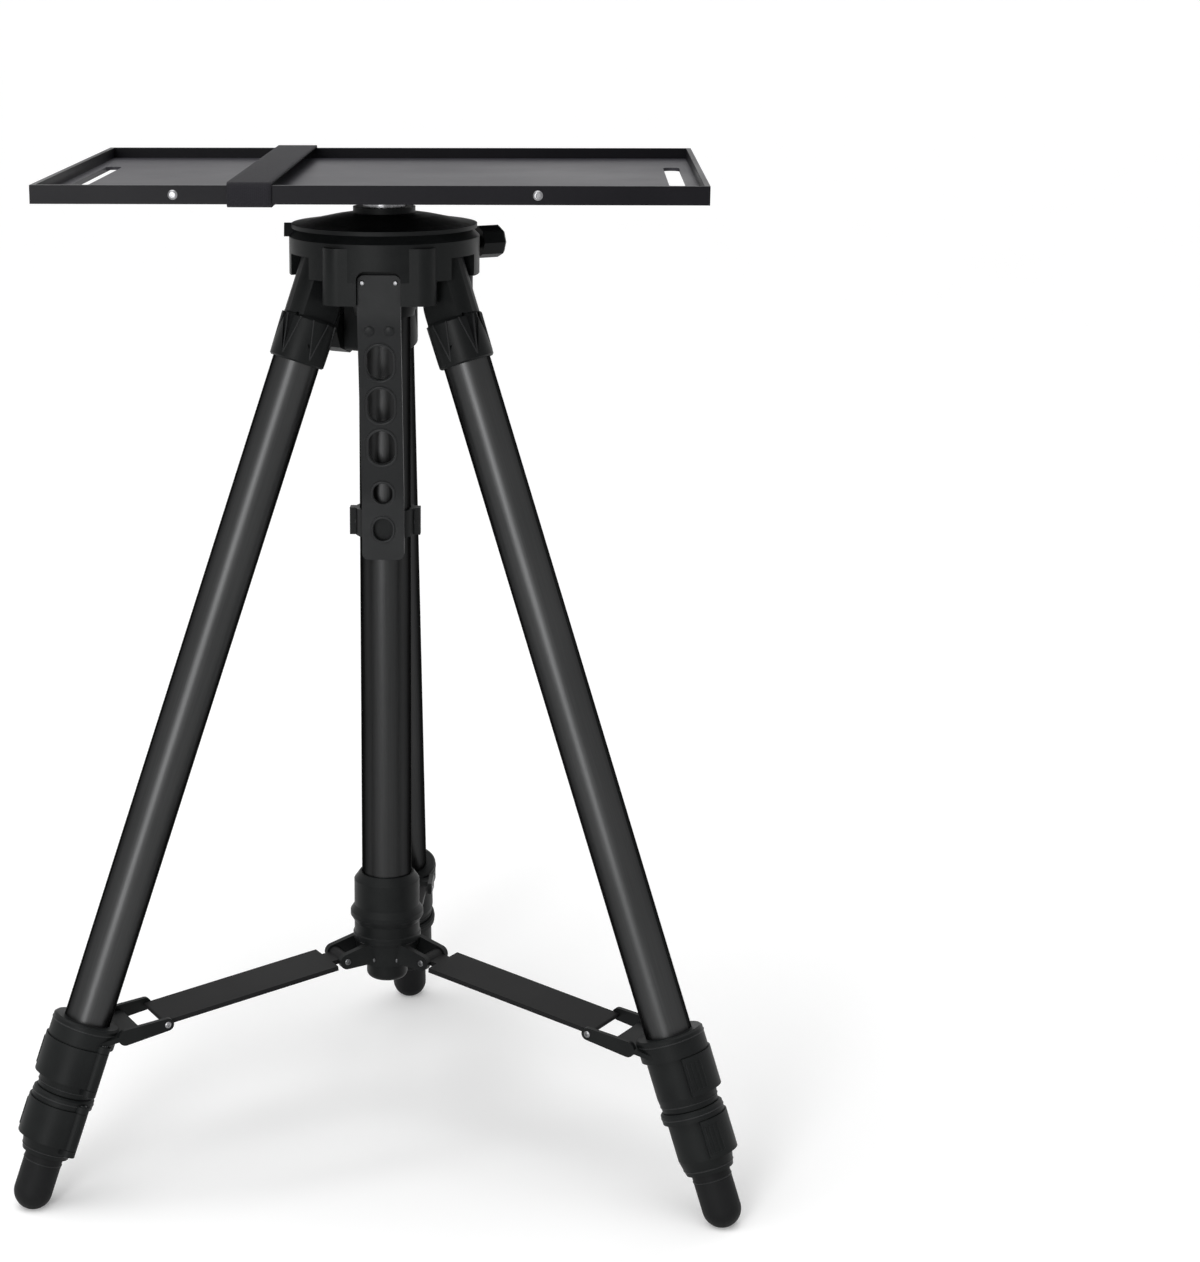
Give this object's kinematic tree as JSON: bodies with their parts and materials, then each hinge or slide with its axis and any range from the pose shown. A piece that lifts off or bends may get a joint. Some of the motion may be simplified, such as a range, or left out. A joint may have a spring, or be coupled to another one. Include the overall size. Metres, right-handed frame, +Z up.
{
  "type": "portable projector stand",
  "caption": "Folding tripod stand with telescopic legs, sliding spreader hub, lifting centre column and a shallow framed tray with strap slots for a projector.",
  "frame": {"origin": "centre of the bounding box on the floor", "axes": "+Z up, -Y towards the front long side of the tray, +X along the tray's long side"},
  "size_m": [0.4496, 0.3996, 0.6334],
  "materials": {
    "black_plastic": "satin black moulding",
    "grey_tube": "dark grey satin anodised",
    "handle_rubber": "soft matt black",
    "bright_steel": "bright plated",
    "tray_frame": "satin slate black",
    "tray_panel": "satin slate",
    "strap": "flat black webbing",
    "foot_rubber": "matt black",
    "arm_metal": "satin black"
  },
  "bodies": {
    "crown": {"canopy": "black_plastic", "guide_tube": "grey_tube", "tube_end_cap": "black_plastic", "carry_handle": "handle_rubber", "handle_band": "black_plastic"},
    "column": {"column": "grey_tube", "column_head": "black_plastic", "head_washer": "bright_steel"},
    "tray": {"tray_mount": "black_plastic", "tray_panel": "tray_panel", "tray_front_rail": "tray_frame", "tray_back_rail": "tray_frame", "tray_left_rail": "tray_frame", "tray_right_rail": "tray_frame", "tray_strap": "strap"},
    "pan_knob": {"pan_knob": "black_plastic"},
    "lift_knob": {"lift_knob": "black_plastic"},
    "hub": {"hub": "black_plastic"},
    "leg_left": {"shoulder_left": "black_plastic", "upper_tube_left": "grey_tube", "upper_lock_left": "black_plastic"},
    "upper_lever_left": {"upper_lever_left": "black_plastic"},
    "mid_left": {"mid_tube_left": "grey_tube", "lower_lock_left": "black_plastic"},
    "lower_lever_left": {"lower_lever_left": "black_plastic"},
    "lower_left": {"lower_tube_left": "grey_tube", "foot_left": "foot_rubber"},
    "arm_left": {"arm_left": "arm_metal"},
    "leg_right": {"shoulder_right": "black_plastic", "upper_tube_right": "grey_tube", "upper_lock_right": "black_plastic"},
    "upper_lever_right": {"upper_lever_right": "black_plastic"},
    "mid_right": {"mid_tube_right": "grey_tube", "lower_lock_right": "black_plastic"},
    "lower_lever_right": {"lower_lever_right": "black_plastic"},
    "lower_right": {"lower_tube_right": "grey_tube", "foot_right": "foot_rubber"},
    "arm_right": {"arm_right": "arm_metal"},
    "leg_back": {"shoulder_back": "black_plastic", "upper_tube_back": "grey_tube", "upper_lock_back": "black_plastic"},
    "upper_lever_back": {"upper_lever_back": "black_plastic"},
    "mid_back": {"mid_tube_back": "grey_tube", "lower_lock_back": "black_plastic"},
    "lower_lever_back": {"lower_lever_back": "black_plastic"},
    "lower_back": {"lower_tube_back": "grey_tube", "foot_back": "foot_rubber"},
    "arm_back": {"arm_back": "arm_metal"}
  },
  "joints": [
    {"name": "column_lift", "type": "slide", "parent": "crown", "child": "column", "axis": [0, 0, 1], "range_m": [0, 0.24]},
    {"name": "tray_pan", "type": "hinge", "parent": "column", "child": "tray", "pos_m": [0, -0.0579, 0.61], "axis": [0, 0, 1], "continuous": true},
    {"name": "pan_knob_turn", "type": "hinge", "parent": "crown", "child": "pan_knob", "pos_m": [0.05196, -0.02789, 0.582], "axis": [0.866, 0.5, 0], "continuous": true},
    {"name": "lift_knob_turn", "type": "hinge", "parent": "crown", "child": "lift_knob", "pos_m": [-0.05196, -0.02789, 0.53], "axis": [-0.866, 0.5, 0], "continuous": true},
    {"name": "leg_left_fold", "type": "hinge", "parent": "crown", "child": "leg_left", "pos_m": [-0.03984, -0.08089, 0.577], "axis": [0.5, -0.866, 0], "range_deg": [0, 16]},
    {"name": "leg_right_fold", "type": "hinge", "parent": "crown", "child": "leg_right", "pos_m": [0.03984, -0.08089, 0.577], "axis": [0.5, 0.866, 0], "range_deg": [0, 16]},
    {"name": "leg_back_fold", "type": "hinge", "parent": "crown", "child": "leg_back", "pos_m": [0, -0.01189, 0.577], "axis": [-1, 0, 0], "range_deg": [0, 16]},
    {"name": "hub_rise", "type": "slide", "parent": "crown", "child": "hub", "axis": [0, 0, 1], "range_m": [0, 0.0981]},
    {"name": "arm_left_swing", "type": "hinge", "parent": "hub", "child": "arm_left", "pos_m": [-0.02944, -0.0749, 0.129], "axis": [0.5, -0.866, 0], "range_deg": [0, 84.88]},
    {"name": "arm_right_swing", "type": "hinge", "parent": "hub", "child": "arm_right", "pos_m": [0.02944, -0.0749, 0.129], "axis": [0.5, 0.866, 0], "range_deg": [0, 84.88]},
    {"name": "arm_back_swing", "type": "hinge", "parent": "hub", "child": "arm_back", "pos_m": [0, -0.02389, 0.129], "axis": [-1, 0, 0], "range_deg": [0, 84.88]},
    {"name": "mid_left_slide", "type": "slide", "parent": "leg_left", "child": "mid_left", "axis": [-0.299, -0.1726, -0.9385], "range_m": [0, 0.3]},
    {"name": "lower_left_slide", "type": "slide", "parent": "mid_left", "child": "lower_left", "axis": [-0.299, -0.1726, -0.9385], "range_m": [0, 0.3]},
    {"name": "upper_lever_left_flip", "type": "hinge", "parent": "leg_left", "child": "upper_lever_left", "pos_m": [-0.17141, -0.17899, 0.09032], "axis": [0.299, 0.1726, 0.9385], "range_deg": [0, 100]},
    {"name": "lower_lever_left_flip", "type": "hinge", "parent": "mid_left", "child": "lower_lever_left", "pos_m": [-0.18452, -0.18494, 0.05287], "axis": [0.299, 0.1726, 0.9385], "range_deg": [0, 100]},
    {"name": "mid_right_slide", "type": "slide", "parent": "leg_right", "child": "mid_right", "axis": [0.299, -0.1726, -0.9385], "range_m": [0, 0.3]},
    {"name": "lower_right_slide", "type": "slide", "parent": "mid_right", "child": "lower_right", "axis": [0.299, -0.1726, -0.9385], "range_m": [0, 0.3]},
    {"name": "upper_lever_right_flip", "type": "hinge", "parent": "leg_right", "child": "upper_lever_right", "pos_m": [0.19058, -0.14579, 0.09032], "axis": [-0.299, 0.1726, 0.9385], "range_deg": [0, 100]},
    {"name": "lower_lever_right_flip", "type": "hinge", "parent": "mid_right", "child": "lower_lever_right", "pos_m": [0.20229, -0.15418, 0.05287], "axis": [-0.299, 0.1726, 0.9385], "range_deg": [0, 100]},
    {"name": "mid_back_slide", "type": "slide", "parent": "leg_back", "child": "mid_back", "axis": [0, 0.3453, -0.9385], "range_m": [0, 0.3]},
    {"name": "lower_back_slide", "type": "slide", "parent": "mid_back", "child": "lower_back", "axis": [0, 0.3453, -0.9385], "range_m": [0, 0.3]},
    {"name": "upper_lever_back_flip", "type": "hinge", "parent": "leg_back", "child": "upper_lever_back", "pos_m": [-0.01917, 0.1511, 0.09032], "axis": [0, -0.3453, 0.9385], "range_deg": [0, 100]},
    {"name": "lower_lever_back_flip", "type": "hinge", "parent": "mid_back", "child": "lower_lever_back", "pos_m": [-0.01776, 0.16543, 0.05287], "axis": [0, -0.3453, 0.9385], "range_deg": [0, 100]}
  ],
  "couplings": [
    {"joint": "leg_right_fold", "follows": "leg_left_fold", "ratio": 1},
    {"joint": "leg_back_fold", "follows": "leg_left_fold", "ratio": 1},
    {"joint": "hub_rise", "follows": "leg_left_fold", "m_per_rad": 0.35097},
    {"joint": "arm_left_swing", "follows": "leg_left_fold", "ratio": 5.3049},
    {"joint": "arm_right_swing", "follows": "leg_left_fold", "ratio": 5.3049},
    {"joint": "arm_back_swing", "follows": "leg_left_fold", "ratio": 5.3049}
  ]
}
